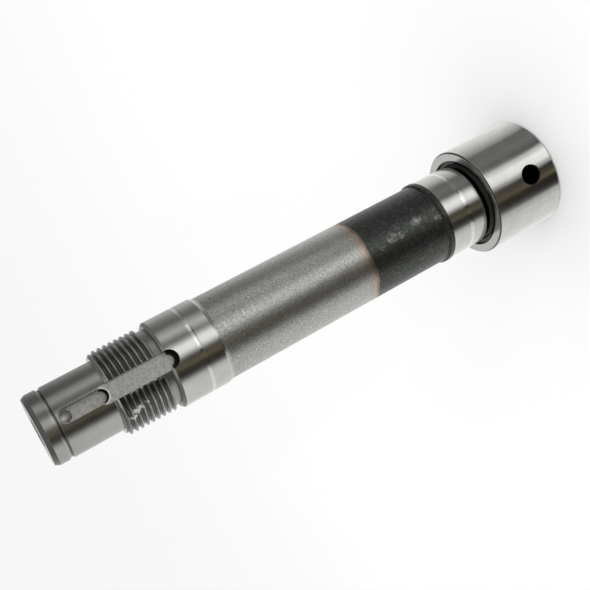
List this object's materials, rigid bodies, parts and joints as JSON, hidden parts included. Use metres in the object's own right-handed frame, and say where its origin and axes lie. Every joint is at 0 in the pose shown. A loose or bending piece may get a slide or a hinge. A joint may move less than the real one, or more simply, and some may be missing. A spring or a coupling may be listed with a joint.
{
  "type": "stepped shaft",
  "caption": "Solid turned steel shaft: threaded nose with key slot and ring groove, ground bearing seats either side of a long plain body, and a thick round head with a cross hole.",
  "frame": {"origin": "centre of the flat end of the head, which the shaft stands on", "axes": "+Z along the shaft's axis from the head towards the threaded nose; the key slots are cut on the -Y side"},
  "size_m": [0.041, 0.041, 0.2042],
  "materials": {
    "steel": "turned and ground steel, darkened by heat next to the collar"
  },
  "bodies": {
    "root": {"stepped_shaft": "steel"}
  },
  "joints": []
}
